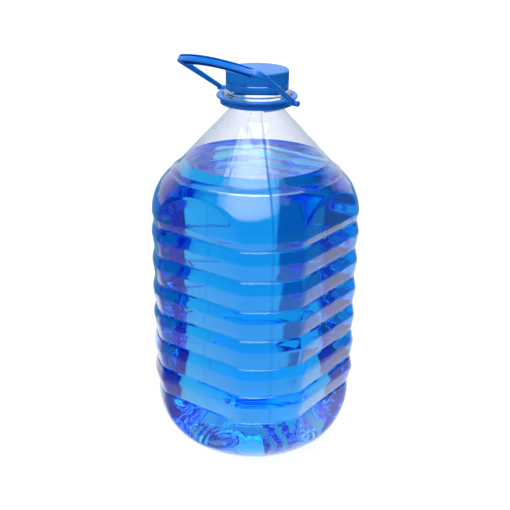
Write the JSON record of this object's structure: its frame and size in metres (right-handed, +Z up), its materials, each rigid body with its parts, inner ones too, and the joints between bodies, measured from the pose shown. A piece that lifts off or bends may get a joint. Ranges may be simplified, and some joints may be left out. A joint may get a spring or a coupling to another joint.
{
  "type": "windshield washer fluid jug",
  "caption": "Clear ribbed bottle of blue washer fluid with flat sides, a conical shoulder, a screw cap and a carrying handle that swings on a collar.",
  "frame": {"origin": "middle of the base, on the plane that the jug stands on", "axes": "+Z up along the bottle's axis; the flat sides face along X and Y; at rest the handle leans out over -Y"},
  "size_m": [0.1544, 0.1544, 0.3394],
  "materials": {
    "clear_pet": "gloss",
    "blue_fluid": "gloss",
    "blue_cap": "satin",
    "white_foam": "matte",
    "blue_handle": "satin"
  },
  "bodies": {
    "bottle": {"bottle": "clear_pet", "washer_fluid": "blue_fluid", "tamper_band": "blue_cap"},
    "cap_liner": {"cap_liner": "white_foam"},
    "screw_cap": {"screw_cap": "blue_cap"},
    "handle_ring": {"handle_ring": "blue_handle"},
    "handle_bail": {"handle_bail": "blue_handle"}
  },
  "joints": [
    {"name": "cap_lift", "type": "slide", "parent": "bottle", "child": "cap_liner", "axis": [0, 0, 1], "range_m": [0, 0.018]},
    {"name": "cap_turn", "type": "hinge", "parent": "cap_liner", "child": "screw_cap", "pos_m": [0, 0, 0.3186], "axis": [0, 0, 1], "range_deg": [0, 720]},
    {"name": "handle_swivel", "type": "hinge", "parent": "bottle", "child": "handle_ring", "pos_m": [0, 0, 0.30217], "axis": [0, 0, 1], "continuous": true},
    {"name": "bail_swing", "type": "hinge", "parent": "handle_ring", "child": "handle_bail", "pos_m": [0, 0, 0.30217], "axis": [-0.9919, 0.1271, 0], "range_deg": [-66, 180]}
  ],
  "couplings": [
    {"joint": "cap_lift", "follows": "cap_turn", "m_per_rad": 0.0014324}
  ]
}
